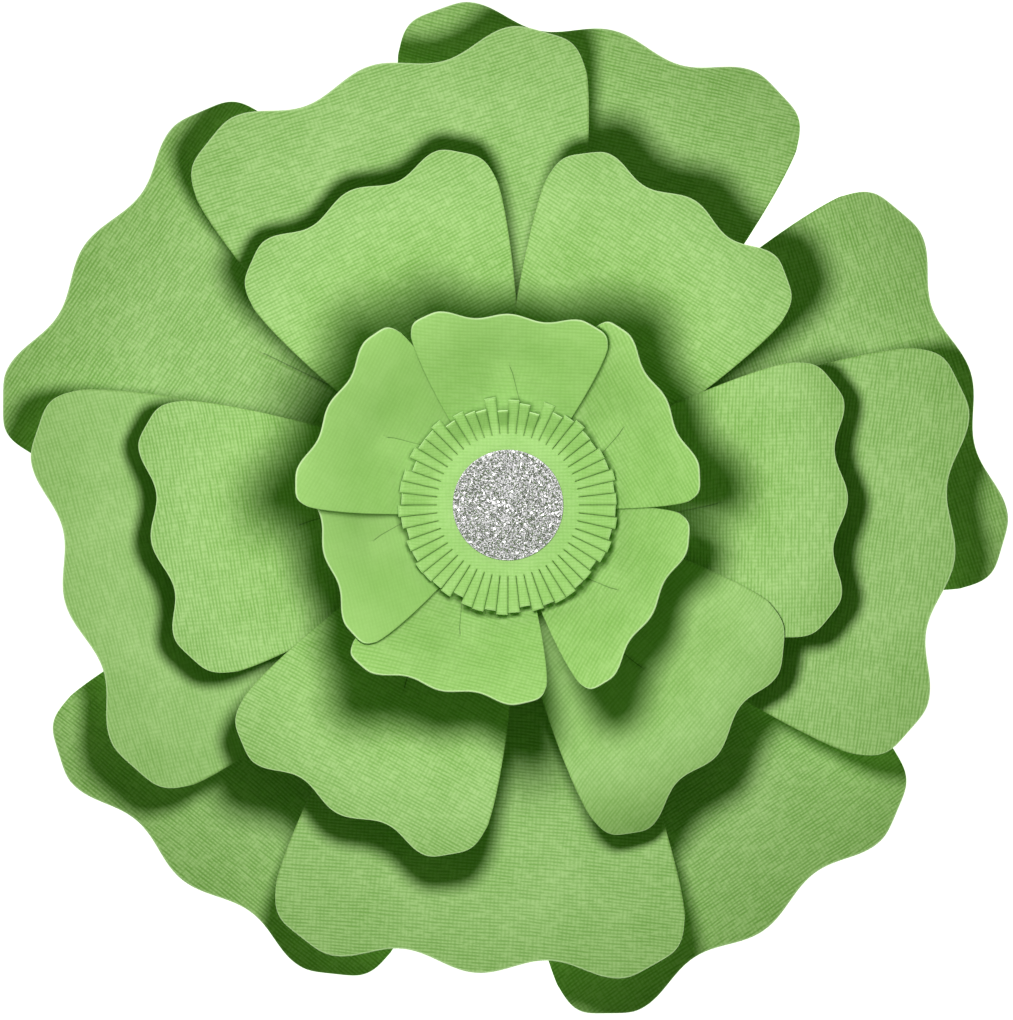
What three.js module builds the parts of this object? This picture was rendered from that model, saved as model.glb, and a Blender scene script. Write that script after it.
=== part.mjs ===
// Layered paper flower: four rows of embossed card petals glued to a round card backing, with a
// fringed disc and a glitter disc in the middle.
//
// Units are millimetres. The flower lies on its back and faces +Z; Z = 0 is the rear face of the
// backing disc and the Z axis runs through the middle of the flower. Angles are in degrees,
// counted anticlockwise from +X as the flower is looked at from the front.

import * as THREE from "three";

// ---- Driving dimensions ---------------------------------------------------------------------

const CARD = 0.3;                // thickness of the petal card
const BACKING_RADIUS = 45;
const BACKING_THICKNESS = 1.2;

// Each row is cut from one template. The first line is the outline seen from the front, the
// second the stacking height near the axis, the third the shape of the cup.
//   halfWidth  half the width across the shoulders      drop     reach less shoulder distance
//   root       distance of the glued tab from the axis   wave     height of the scallops
//   dart       distance of the tip of the slit           overlap  sideways lap per mm of slit
//   floor      height of the lowest tab                  step     height from one tab to the next
//   flat       radius up to which the tabs lie flat      slope    rise per mm beyond that
//   cup        rise per mm away from the slit's tip      curl     fall of the rolled-back lip
const BACK_ROW = {
  halfWidth: 61.5, drop: 22, root: 16, wave: 2.6, dart: 91, overlap: 0.1,
  floor: 1.6, step: 1, flat: 34, slope: 0.05,
  cup: 0.1, curl: 5, lip: 108, columns: 22,
};
const SECOND_ROW = {
  halfWidth: 61, drop: 22, root: 16, wave: 2.6, dart: 88, overlap: 0.12,
  floor: 4.8, step: 1, flat: 34, slope: 0.12,
  cup: 0.17, curl: 5, lip: 100, columns: 22,
};
const MIDDLE_ROW = {
  halfWidth: 40.8, drop: 18, root: 14, wave: 2, dart: 66, overlap: 0.2,
  floor: 7.1, step: 0.95, flat: 32, slope: 0.16,
  cup: 0.29, curl: 9, lip: 74, columns: 20,
};
const INNER_ROW = {
  halfWidth: 28.8, drop: 8.5, root: 11, wave: 0.9, dart: 43, overlap: 0.27,
  floor: 13.1, step: 1.05, flat: 28, slope: 0.62,
  cup: 0.72, curl: 2, lip: 46, columns: 18,
};

// One line per petal.
//   angle   direction of the middle of the petal    reach  axis to the middle of the outer edge
//   skew    how much further out the anticlockwise shoulder stands, per mm of width
//   order   place in the row's stack, lowest first
//   ccw, cw angle from the petal's middle at which each flank stops rising with the cup
const PETALS = [
  { name: "back_petal_top", row: BACK_ROW, angle: 77.5, reach: 146, skew: 0.02, order: 0 },
  { name: "back_petal_right", row: BACK_ROW, angle: 16, reach: 144.5, skew: -0.02, order: 1 },
  { name: "back_petal_lower_right", row: BACK_ROW, angle: -59, reach: 149, skew: -0.07, order: 0 },
  { name: "back_petal_lower_left", row: BACK_ROW, angle: 229, reach: 149, skew: -0.04, order: 1 },
  { name: "back_petal_upper_left", row: BACK_ROW, angle: 148.5, reach: 149, skew: 0.05, order: 2 },

  { name: "second_petal_top", row: SECOND_ROW, angle: 107.5, reach: 137, skew: -0.01, order: 0 },
  { name: "second_petal_right", row: SECOND_ROW, angle: -7, reach: 134, skew: 0.02, order: 1 },
  { name: "second_petal_bottom", row: SECOND_ROW, angle: 266, reach: 139.5, skew: 0.01, order: 0 },
  { name: "second_petal_left", row: SECOND_ROW, angle: 192.5, reach: 135, skew: -0.06, order: 1 },

  { name: "middle_petal_left", row: MIDDLE_ROW, angle: 186, reach: 106.5, skew: -0.08, order: 0, ccw: 25 },
  { name: "middle_petal_upper_left", row: MIDDLE_ROW, angle: 117, reach: 104.5, skew: -0.01, order: 1 },
  { name: "middle_petal_upper_right", row: MIDDLE_ROW, angle: 58.5, reach: 106, skew: 0, order: 2 },
  { name: "middle_petal_right", row: MIDDLE_ROW, angle: 1, reach: 101, skew: 0.03, order: 3, cw: 21 },
  { name: "middle_petal_lower_right", row: MIDDLE_ROW, angle: -50, reach: 97, skew: -0.18, order: 4 },
  { name: "middle_petal_lower_left", row: MIDDLE_ROW, angle: 241, reach: 104.5, skew: -0.01, order: 5 },

  { name: "inner_petal_lower_right", row: INNER_ROW, angle: -37.5, reach: 53.5, skew: -0.12, order: 0 },
  { name: "inner_petal_bottom", row: INNER_ROW, angle: 250, reach: 58, skew: -0.12, order: 1, cw: 21 },
  { name: "inner_petal_left", row: INNER_ROW, angle: 195, reach: 56, skew: 0, order: 2, cw: 9 },
  { name: "inner_petal_upper_left", row: INNER_ROW, angle: 151, reach: 60, skew: -0.02, order: 3, cw: 28 },
  { name: "inner_petal_right", row: INNER_ROW, angle: 34, reach: 56, skew: 0.1, order: 2, ccw: 21 },
  { name: "inner_petal_top", row: INNER_ROW, angle: 89.5, reach: 56, skew: 0.05, order: 4 },
];

const FLANK_HOLD = 30;           // where a flank stops rising when nothing overlaps it
const FLANK_EASE = 6;            // half the angle over which it levels off
const EDGE_POWER = 3.5;          // squareness of the petal's outer corners
const WAVE_PITCH = 0.72;         // scallop spacing as a share of the half width
const SIDE_POWER = 1.25;         // how the sides narrow toward the tab
const ROOT_NARROWING = 0.7;      // share of the width lost at the tab
const CUP_SOFTNESS = 4;          // radius of the dimple at the slit's tip
const RAMP_SOFTNESS = 6;         // radius over which the flat tabs bend up
const SLIT_CLEARANCE = 0.1;      // half the gap between the slit's edges near its tip
const SLIT_OPEN_SHARE = 0.15;    // share of the slit, at its tip, where its edges don't lap
const LAP_LIFT = 0.45;           // how far the upper half of the tab stands over the lower half
const LAP_BLEND = 6;             // width over which that lift dies away
const SLOPE_PROBE = 0.05;        // step used to measure the surface slope
const ROWS_BELOW_DART = [0, 0.45, 0.9];
const ROWS_ABOVE_DART = [0, 0.35, 0.7, 1];

const FRINGE_FLAT_RADIUS = 21.4;
const FRINGE_STRIP_LENGTH = 12.5;
const FRINGE_STRIPS = 56;
const FRINGE_SLIT = 0.3;
const FRINGE_HEIGHT = 20.8;      // underside of the fringed disc
const FRINGE_REST_PITCH = 33;    // how far most strips are bent up
const FRINGE_TOP_PITCH = 27;     // how much further the strips at the top stand up
const FRINGE_TOP_DIRECTION = 95; // middle of the group of strips that stand up
const FRINGE_TOP_FOCUS = 4;      // how closely that group keeps to its middle
const FRINGE_UNEVENNESS = 6;
const FRINGE_UNEVEN_TURN = 2.4;  // radians of unevenness from one strip to the next
const FRINGE_TOP_TURN = 1.9;     // the same for the strips that stand up
const FRINGE_STATIONS = [0, 0.3, 1];

const GLITTER_RADIUS = 16.5;
const GLITTER_THICKNESS = 0.4;
const DISC_GAP = 0.3;
const DISC_SIDES = 72;

// ---- Small helpers --------------------------------------------------------------------------

const radians = THREE.MathUtils.degToRad;

const paperMaterial = (name, colour) => {
  const material = new THREE.MeshStandardMaterial({ color: colour, roughness: 0.85, metalness: 0 });
  material.name = name;
  return material;
};

const glitterMaterial = () => {
  const material = new THREE.MeshStandardMaterial({ color: 0xb9b9bb, roughness: 0.35, metalness: 0.6 });
  material.name = "silver_glitter_card";
  return material;
};

// A closed mesh put together from four-cornered and three-cornered faces.
class FaceList {
  constructor() {
    this.positions = [];
  }

  triangle(a, b, c) {
    for (const corner of [a, b, c]) {
      this.positions.push(corner.x, corner.y, corner.z);
    }
  }

  quad(a, b, c, d) {
    this.triangle(a, b, c);
    this.triangle(a, c, d);
  }

  mesh(name, material) {
    const geometry = new THREE.BufferGeometry();
    geometry.setAttribute("position", new THREE.Float32BufferAttribute(this.positions, 3));
    geometry.computeVertexNormals();
    const mesh = new THREE.Mesh(geometry, material);
    mesh.name = name;
    return mesh;
  }
}

// ---- Petal outline --------------------------------------------------------------------------

// Distance from the axis to the outer edge, `across` running from -1 to 1 over the width.
function outerEdge(petal, across) {
  const { drop, wave } = petal.row;
  const corner = (1 - Math.abs(across) ** EDGE_POWER) ** (1 / EDGE_POWER);
  const fade = THREE.MathUtils.smoothstep(1 - Math.abs(across), 0, 1 - WAVE_PITCH);
  const scallop = wave * Math.cos((2 * Math.PI * across) / WAVE_PITCH) * fade;
  return petal.reach - drop + (drop - wave) * corner + scallop;
}

function halfWidthAt(petal, along) {
  return petal.row.halfWidth * (1 - ROOT_NARROWING * (1 - along) ** SIDE_POWER);
}

// Where the slit's tip falls along the petal, from 0 at the tab to 1 at the outer edge.
function dartPosition(petal) {
  const { dart, root } = petal.row;
  return (dart - root) / (petal.reach - root);
}

// How far each half of the tab laps past the middle line; negative where the slit stands open.
function lapAt(petal, along) {
  const { overlap, root } = petal.row;
  const below = (dartPosition(petal) - along) * (petal.reach - root);
  if (below <= 0) {
    return 0;
  }
  const lap = Math.min(overlap * below, halfWidthAt(petal, along) / 2);
  return along > openSlitRow(petal) ? -SLIT_CLEARANCE : lap;
}

function openSlitRow(petal) {
  return dartPosition(petal) * (1 - SLIT_OPEN_SHARE);
}

// ---- Petal surface --------------------------------------------------------------------------

function heldAngle(angle, hold) {
  const ease = Math.min(FLANK_EASE, hold / 3);
  const start = hold - 2 * ease;
  const size = Math.abs(angle);
  if (size <= start) {
    return angle;
  }
  const held = size >= hold ? hold - ease : size - (size - start) ** 2 / (4 * ease);
  return Math.sign(angle) * held;
}

// Height of the petal's mid surface over a point `x` outward and `y` anticlockwise of the axis.
function surfaceHeight(petal, x, y) {
  const row = petal.row;
  const radius = Math.hypot(x, y);
  const hold = (y > 0 ? petal.ccw : petal.cw) ?? FLANK_HOLD;
  const angle = radians(heldAngle(THREE.MathUtils.radToDeg(Math.atan2(y, x)), hold));
  const beyond = radius * Math.cos(angle) - row.dart;
  const sideways = radius * Math.sin(angle);
  const cup = row.cup * (Math.hypot(beyond, sideways, CUP_SOFTNESS) + beyond);
  const past = radius - row.flat;
  const ramp = (row.slope * (Math.hypot(past, RAMP_SOFTNESS) + past)) / 2;
  const lip = Math.max(0, (radius - row.lip) / (petal.reach - row.lip));
  return row.floor + row.step * petal.order + ramp + cup - row.curl * lip ** 2;
}

function surfaceNormal(petal, x, y) {
  const step = SLOPE_PROBE;
  const slopeX = (surfaceHeight(petal, x + step, y) - surfaceHeight(petal, x - step, y)) / (2 * step);
  const slopeY = (surfaceHeight(petal, x, y + step) - surfaceHeight(petal, x, y - step)) / (2 * step);
  return new THREE.Vector3(-slopeX, -slopeY, 1).normalize();
}

// Front and rear surface points of one place on the petal. `half` is +1 for the anticlockwise
// half, which laps over the other one below the slit's tip.
function petalPoint(petal, along, across, half) {
  const lap = lapAt(petal, along);
  const share = Math.abs(across);
  const side = half * (share * halfWidthAt(petal, along) - lap * (1 - share));
  const out = petal.row.root + along * (outerEdge(petal, across) - petal.row.root);
  const x = out + petal.skew * side * along;
  const point = new THREE.Vector3(x, side, surfaceHeight(petal, x, side));
  if (half > 0 && lap !== 0) {
    point.z += LAP_LIFT * (1 - THREE.MathUtils.smoothstep(side, Math.abs(lap), Math.abs(lap) + LAP_BLEND));
  }
  const normal = surfaceNormal(petal, x, side).multiplyScalar(CARD / 2);
  const turn = new THREE.Matrix4().makeRotationZ(radians(petal.angle));
  return {
    front: point.clone().add(normal).applyMatrix4(turn),
    rear: point.clone().sub(normal).applyMatrix4(turn),
  };
}

// ---- Petal mesh -----------------------------------------------------------------------------

// Places of the cross rows along the petal, from 0 at the tab to 1 at the outer edge.
function petalRows(petal) {
  const dart = dartPosition(petal);
  const below = ROWS_BELOW_DART.map((share) => dart * share);
  const above = ROWS_ABOVE_DART.map((share) => dart + (1 - dart) * share);
  return [...below, ...above];
}

function petalHalf(petal, half) {
  const columns = petal.row.columns / 2;
  return petalRows(petal).map((along) => {
    const points = [];
    for (let column = 0; column <= columns; column += 1) {
      const across = half * Math.sin((Math.PI / 2) * (column / columns));
      points.push(petalPoint(petal, along, across, half));
    }
    return points;
  });
}

// Adds a four-cornered patch of card; `half` keeps its front outward on either side.
function addPatch(faces, half, a, b, c, d) {
  if (half > 0) {
    faces.quad(a.front, b.front, c.front, d.front);
    faces.quad(d.rear, c.rear, b.rear, a.rear);
  } else {
    faces.quad(d.front, c.front, b.front, a.front);
    faces.quad(a.rear, b.rear, c.rear, d.rear);
  }
}

// Adds the cut edge of the card between two neighbouring places on the outline.
function addCutEdge(faces, half, a, b) {
  if (half > 0) {
    faces.quad(a.rear, b.rear, b.front, a.front);
  } else {
    faces.quad(a.front, b.front, b.rear, a.rear);
  }
}

function addPetalHalf(faces, petal, half) {
  const grid = petalHalf(petal, half);
  const lastRow = grid.length - 1;
  const lastColumn = grid[0].length - 1;
  for (let row = 0; row < lastRow; row += 1) {
    for (let column = 0; column < lastColumn; column += 1) {
      const next = grid[row + 1];
      addPatch(faces, half, grid[row][column], next[column], next[column + 1], grid[row][column + 1]);
    }
    addCutEdge(faces, half, grid[row + 1][lastColumn], grid[row][lastColumn]);
    if (row < ROWS_BELOW_DART.length) {
      addCutEdge(faces, half, grid[row][0], grid[row + 1][0]);
    }
  }
  for (let column = 0; column < lastColumn; column += 1) {
    addCutEdge(faces, half, grid[0][column + 1], grid[0][column]);
    addCutEdge(faces, half, grid[lastRow][column], grid[lastRow][column + 1]);
  }
}

function makePetal(petal, material) {
  const faces = new FaceList();
  addPetalHalf(faces, petal, 1);
  addPetalHalf(faces, petal, -1);
  return faces.mesh(petal.name, material);
}

// ---- Discs ----------------------------------------------------------------------------------

function makeDisc(name, radius, bottom, thickness, material) {
  const profile = [
    new THREE.Vector2(0, bottom),
    new THREE.Vector2(radius, bottom),
    new THREE.Vector2(radius, bottom + thickness),
    new THREE.Vector2(0, bottom + thickness),
  ];
  const geometry = new THREE.LatheGeometry(profile, DISC_SIDES);
  geometry.rotateX(Math.PI / 2);
  const mesh = new THREE.Mesh(geometry, material);
  mesh.name = name;
  return mesh;
}

// How steeply a fringe strip is bent up: the ones at the top stand up most.
function stripPitch(strip) {
  const turn = ((strip + 0.5) / FRINGE_STRIPS) * 360;
  const towardTop = Math.max(0, Math.cos(radians(turn - FRINGE_TOP_DIRECTION))) ** FRINGE_TOP_FOCUS;
  const uneven = FRINGE_UNEVENNESS * Math.sin(strip * FRINGE_UNEVEN_TURN);
  const tall = FRINGE_TOP_PITCH * towardTop * Math.abs(Math.sin(strip * FRINGE_TOP_TURN));
  return FRINGE_REST_PITCH + uneven + tall;
}

// Cross-section pair of a strip `reach` mm from its root, on the left or right edge.
function stripPoint(strip, edge, reach) {
  const pitch = radians(reach > 0 ? stripPitch(strip) : 0);
  const radius = FRINGE_FLAT_RADIUS + reach * Math.cos(pitch);
  const halfTurn = Math.PI / FRINGE_STRIPS;
  const middle = (2 * strip + 1) * halfTurn;
  const turn = middle + edge * (halfTurn - FRINGE_SLIT / 2 / radius);
  const height = FRINGE_HEIGHT + CARD / 2 + reach * Math.sin(pitch);
  const lean = (CARD / 2) * Math.sin(pitch);
  const rise = (CARD / 2) * Math.cos(pitch);
  const at = (distance, level) => {
    return new THREE.Vector3(distance * Math.cos(turn), distance * Math.sin(turn), level);
  };
  return { front: at(radius - lean, height + rise), rear: at(radius + lean, height - rise) };
}

function makeFringe(material) {
  const faces = new FaceList();
  const hub = {
    front: new THREE.Vector3(0, 0, FRINGE_HEIGHT + CARD),
    rear: new THREE.Vector3(0, 0, FRINGE_HEIGHT),
  };
  const stations = FRINGE_STATIONS.map((share) => share * FRINGE_STRIP_LENGTH);
  for (let strip = 0; strip < FRINGE_STRIPS; strip += 1) {
    const right = stations.map((reach) => stripPoint(strip, -1, reach));
    const left = stations.map((reach) => stripPoint(strip, 1, reach));
    const next = stripPoint((strip + 1) % FRINGE_STRIPS, -1, 0);
    for (const [near, far] of [[right[0], left[0]], [left[0], next]]) {
      faces.triangle(hub.front, near.front, far.front);
      faces.triangle(hub.rear, far.rear, near.rear);
    }
    addCutEdge(faces, -1, next, left[0]);
    for (let span = 0; span + 1 < stations.length; span += 1) {
      addPatch(faces, 1, right[span], right[span + 1], left[span + 1], left[span]);
      addCutEdge(faces, -1, right[span + 1], right[span]);
      addCutEdge(faces, -1, left[span], left[span + 1]);
    }
    addCutEdge(faces, -1, left[stations.length - 1], right[stations.length - 1]);
  }
  return faces.mesh("fringed_disc", material);
}

// ---- Assembly -------------------------------------------------------------------------------

const flower = new THREE.Group();
flower.name = "paper_flower";

const backingCard = paperMaterial("backing_card", 0xe9e6dc);
flower.add(makeDisc("backing_disc", BACKING_RADIUS, 0, BACKING_THICKNESS, backingCard));
for (const petal of PETALS) {
  flower.add(makePetal(petal, paperMaterial("green_cardstock", 0x93c46b)));
}
flower.add(makeFringe(paperMaterial("green_cardstock", 0x93c46b)));
const glitterBottom = FRINGE_HEIGHT + CARD + DISC_GAP;
flower.add(makeDisc("glitter_disc", GLITTER_RADIUS, glitterBottom, GLITTER_THICKNESS, glitterMaterial()));

export default flower;
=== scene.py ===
"""Giant paper flower: fine card petals, a cut fringe and a glitter heart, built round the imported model.

Everything is in metres. The flower lies on its back and faces +Z, and the Z axis runs through its
middle. Angles are counted anticlockwise from +X as the flower is looked at from the front.
"""

import math

import bpy
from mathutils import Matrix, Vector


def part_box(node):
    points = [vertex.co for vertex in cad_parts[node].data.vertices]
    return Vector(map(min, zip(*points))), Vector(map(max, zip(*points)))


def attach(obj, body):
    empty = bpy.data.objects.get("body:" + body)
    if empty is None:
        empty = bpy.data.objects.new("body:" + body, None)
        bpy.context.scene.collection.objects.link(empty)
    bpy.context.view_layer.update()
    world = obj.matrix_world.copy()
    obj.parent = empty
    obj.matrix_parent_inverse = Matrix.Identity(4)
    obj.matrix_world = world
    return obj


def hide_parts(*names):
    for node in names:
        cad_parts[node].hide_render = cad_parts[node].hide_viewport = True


bl_info = {
    "name": "Giant Paper Flower",
    "version": (1, 0, 0),
    "blender": (4, 5, 0),
    "location": "View3D > Sidebar > Paper Flower",
    "description": "Builds a layered flower of linen-embossed card petals, a fringe and a glitter disc",
    "category": "Add Mesh",
}

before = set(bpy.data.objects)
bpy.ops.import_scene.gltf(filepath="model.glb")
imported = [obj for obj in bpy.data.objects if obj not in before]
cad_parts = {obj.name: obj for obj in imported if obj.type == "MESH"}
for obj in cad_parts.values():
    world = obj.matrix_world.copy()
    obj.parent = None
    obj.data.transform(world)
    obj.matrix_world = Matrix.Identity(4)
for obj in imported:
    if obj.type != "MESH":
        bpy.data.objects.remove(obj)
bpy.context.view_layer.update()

MM = 0.001
BODY = "root"

# ---- Template of each row, in millimetres ---------------------------------------------------

SIZE_NOTES = {
    "half_width": "Half the width across the shoulders",
    "drop": "Reach of the outer edge less that of the shoulders",
    "root": "Distance of the glued tab from the axis",
    "wave": "Height of the scallops",
    "dart": "Distance of the slit's tip from the axis",
    "floor": "Height of the lowest tab in the row",
    "step": "Height from one tab to the next",
    "flat": "Radius up to which the tabs lie flat",
    "curl": "How far the rolled-back lip falls",
    "lip": "Radius at which the lip starts to roll back",
}
SHAPE_NOTES = {
    "overlap": "Sideways lap for each unit of slit",
    "slope": "Rise for each unit of distance beyond the flat tabs",
    "cup": "Rise for each unit of distance from the slit's tip",
}
ROWS = {
    "back": {
        "half_width": 61.5, "drop": 22, "root": 16, "wave": 2.6, "dart": 91, "overlap": 0.1,
        "floor": 1.6, "step": 1, "flat": 34, "slope": 0.05, "cup": 0.1, "curl": 5, "lip": 108,
    },
    "second": {
        "half_width": 61, "drop": 22, "root": 16, "wave": 2.6, "dart": 88, "overlap": 0.12,
        "floor": 4.8, "step": 1, "flat": 34, "slope": 0.12, "cup": 0.17, "curl": 5, "lip": 100,
    },
    "middle": {
        "half_width": 40.8, "drop": 18, "root": 14, "wave": 2, "dart": 66, "overlap": 0.2,
        "floor": 7.1, "step": 0.95, "flat": 32, "slope": 0.16, "cup": 0.29, "curl": 9, "lip": 74,
    },
    "inner": {
        "half_width": 28.8, "drop": 8.5, "root": 11, "wave": 0.9, "dart": 43, "overlap": 0.27,
        "floor": 13.1, "step": 1.05, "flat": 28, "slope": 0.62, "cup": 0.72, "curl": 2, "lip": 46,
    },
}

# Each petal's direction in degrees, reach in millimetres, skew, and place in the row's stack. Some
# have their own angles from the middle at which the anticlockwise (ccw) and clockwise (cw) flanks
# stop rising, in place of FLANK_HOLD, or a strength of emboss in place of ROW_EMBOSS.
PETALS = {
    "back_petal_top": {"angle": 77.5, "reach": 146, "skew": 0.02, "order": 0},
    "back_petal_right": {"angle": 16, "reach": 144.5, "skew": -0.02, "order": 1},
    "back_petal_lower_right": {"angle": -59, "reach": 149, "skew": -0.07, "order": 0},
    "back_petal_lower_left": {"angle": 229, "reach": 149, "skew": -0.04, "order": 1},
    "back_petal_upper_left": {"angle": 148.5, "reach": 149, "skew": 0.05, "order": 2},
    "second_petal_top": {"angle": 107.5, "reach": 137, "skew": -0.01, "order": 0},
    "second_petal_right": {"angle": -7, "reach": 134, "skew": 0.02, "order": 1},
    "second_petal_bottom": {"angle": 266, "reach": 139.5, "skew": 0.01, "order": 0},
    "second_petal_left": {"angle": 192.5, "reach": 135, "skew": -0.06, "order": 1, "emboss": 0.6},
    "middle_petal_left": {"angle": 186, "reach": 106.5, "skew": -0.08, "order": 0, "ccw": 25},
    "middle_petal_upper_left": {"angle": 117, "reach": 104.5, "skew": -0.01, "order": 1},
    "middle_petal_upper_right": {"angle": 58.5, "reach": 106, "skew": 0, "order": 2},
    "middle_petal_right": {"angle": 1, "reach": 101, "skew": 0.03, "order": 3, "cw": 21},
    "middle_petal_lower_right": {"angle": -50, "reach": 97, "skew": -0.18, "order": 4, "emboss": 0.55},
    "middle_petal_lower_left": {"angle": 241, "reach": 104.5, "skew": -0.01, "order": 5},
    "inner_petal_lower_right": {"angle": -37.5, "reach": 53.5, "skew": -0.12, "order": 0},
    "inner_petal_bottom": {"angle": 250, "reach": 58, "skew": -0.12, "order": 1, "cw": 21},
    "inner_petal_left": {"angle": 195, "reach": 56, "skew": 0, "order": 2, "cw": 9, "emboss": 0.15},
    "inner_petal_upper_left": {
        "angle": 151, "reach": 60, "skew": -0.02, "order": 3, "cw": 28, "emboss": 0.2,
    },
    "inner_petal_right": {"angle": 34, "reach": 56, "skew": 0.1, "order": 2, "ccw": 21},
    "inner_petal_top": {"angle": 89.5, "reach": 56, "skew": 0.05, "order": 4, "emboss": 0.3},
}

FLANK_HOLD = 30                  # degrees from the middle at which a free flank stops rising
FLANK_EASE = 6                   # half the angle over which it levels off
EDGE_POWER = 3.5                 # squareness of the petal's outer corners
WAVE_PITCH = 0.72                # scallop spacing as a share of the half width
SIDE_POWER = 1.25                # how the sides narrow toward the tab
ROOT_NARROWING = 0.7             # share of the width lost at the tab
CUP_SOFTNESS = 4 * MM            # radius of the dimple at the slit's tip
RAMP_SOFTNESS = 6 * MM           # radius over which the flat tabs bend up
LAP_LIFT = 0.45 * MM             # how far the upper half of the tab stands over the lower half
LAP_BLEND = 6 * MM               # width over which that lift dies away
SLIT_GAP = 0.05 * MM             # half the gap between the slit's edges near its tip
SLIT_TAPER = 0.1                 # how fast that gap opens, for each unit of slit
SLIT_OPEN = 0.5 * MM             # how far below its tip the slit's edges start to lap
SLIT_LAPPED = 4 * MM             # how far below its tip they lap fully
LIFT_RUN = 1.6 * MM              # length of slit over which the upper half climbs onto the lower
ROWS_BELOW_TIP = 18              # rows of faces from the tab to the slit's tip
ROWS_ABOVE_TIP = 22              # and from there to the outer edge
COLUMNS = 52                     # faces from the petal's middle to its side
WELD = 0.001 * MM                # points closer than this become one

# ---- Sizes and colours that a user would change ---------------------------------------------


def length(name, description, millimetres):
    """A size that a user can set, given in millimetres and kept in metres."""
    return bpy.props.FloatProperty(
        name=name, description=description, default=millimetres * MM, unit="LENGTH", precision=5
    )


def ratio(name, description, default):
    """A number without a unit that a user can set."""
    return bpy.props.FloatProperty(name=name, description=description, default=default, precision=3)


def colour(name, description, default):
    """A colour that a user can set, as linear red, green and blue."""
    return bpy.props.FloatVectorProperty(
        name=name, description=description, default=default, subtype="COLOR", size=3, min=0, max=1
    )


def row_class(row, sizes):
    """A PropertyGroup that holds the template of one row of petals."""
    fields = {}
    for key, note in SIZE_NOTES.items():
        fields[key] = length(key.replace("_", " ").capitalize(), note, sizes[key])
    for key, note in SHAPE_NOTES.items():
        fields[key] = ratio(key.capitalize(), note, sizes[key])
    name = f"PAPERFLOWER_PG_{row}_row"
    return type(name, (bpy.types.PropertyGroup,), {"__annotations__": fields})


ROW_CLASSES = {row: row_class(row, sizes) for row, sizes in ROWS.items()}


class PAPERFLOWER_PG_settings(bpy.types.PropertyGroup):
    """Sizes, colours and finishes of the whole flower."""

    back: bpy.props.PointerProperty(name="Back row", type=ROW_CLASSES["back"])
    second: bpy.props.PointerProperty(name="Second row", type=ROW_CLASSES["second"])
    middle: bpy.props.PointerProperty(name="Middle row", type=ROW_CLASSES["middle"])
    inner: bpy.props.PointerProperty(name="Inner row", type=ROW_CLASSES["inner"])

    card_thickness: length("Card thickness", "Thickness of the petal card", 0.3)
    card_light: colour("Card, raised", "Colour of the emboss's raised threads", (0.45, 0.69, 0.25))
    # Painted shade: the darker colour between the emboss's threads stands in for the shade that falls in
    # its grooves.
    card_groove_shade: colour("Card, sunk", "Colour between the emboss's threads", (0.18, 0.42, 0.055))
    # Painted highlight: the light colour along the petals' outer edges and on their cut edges there
    # stands in for light caught by the edge.
    card_rim_highlight: colour("Cut edge", "Colour of the card's cut edge", (0.68, 0.88, 0.48))
    # Painted shadow: the dark colour along a slit and on the cut edges of the petal's inner part stands
    # in for the contact shadow there.
    card_edge_shadow: colour("Slit edge", "Colour of the card pinched at a slit", (0.05, 0.14, 0.02))
    thread_pitch: length("Thread pitch", "Spacing of the emboss's cross threads", 1.0)
    emboss_depth: length("Emboss depth", "Depth of the linen emboss", 0.09)

    fringe_flat: length("Fringe flat radius", "Radius at which the fringe's strips start", 21.4)
    fringe_strip: length("Strip length", "Length of each strip of the fringe", 12.5)
    fringe_strips: bpy.props.IntProperty(name="Strips", description="Number of strips", default=56)
    fringe_slit: length("Slit width", "Width of the cut between two strips", 0.22)
    fringe_height: length("Fringe height", "Height of the fringed disc's underside", 20.8)

    flake_size: length("Flake size", "Radius of one glitter flake", 0.33)
    glitter_colour: colour("Glitter", "Colour of the glitter flakes", (0.58, 0.55, 0.59))
    board_colour: colour("Board", "Colour of the backing board", (0.80, 0.77, 0.70))


# ---- Node trees -----------------------------------------------------------------------------

NODES_PER_LINE = 14
NODE_SPACING = (180, -240)


class Nodes:
    """Adds nodes to one tree, joins them up and lays them out in lines."""

    def __init__(self, tree):
        self.tree = tree

    def add(self, kind, inputs=None, **settings):
        node = self.tree.nodes.new(kind)
        line, place = divmod(len(self.tree.nodes), NODES_PER_LINE)
        node.location = (NODE_SPACING[0] * place, NODE_SPACING[1] * line)
        for name, value in settings.items():
            setattr(node, name, value)
        for key, value in (inputs or {}).items():
            self.join(value, node.inputs[key])
        return node

    def join(self, value, socket):
        if isinstance(value, Field):
            value = value.socket
        if isinstance(value, bpy.types.Node):
            value = value.outputs[0]
        if isinstance(value, bpy.types.NodeSocket):
            self.tree.links.new(value, socket)
        else:
            socket.default_value = value

    def field(self, kind, inputs=None, **settings):
        return Field(self, self.add(kind, inputs, **settings).outputs[0])

    def split(self, vector):
        node = self.add("ShaderNodeSeparateXYZ", {0: vector})
        return [Field(self, output) for output in node.outputs]

    def vector(self, x, y, z=0.0):
        return self.add("ShaderNodeCombineXYZ", {0: x, 1: y, 2: z})

    def noise(self, x, y, z=0.0, detail=2.0):
        inputs = {"Vector": self.vector(x, y, z), "Scale": 1.0, "Detail": detail}
        return self.field("ShaderNodeTexNoise", inputs)


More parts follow.
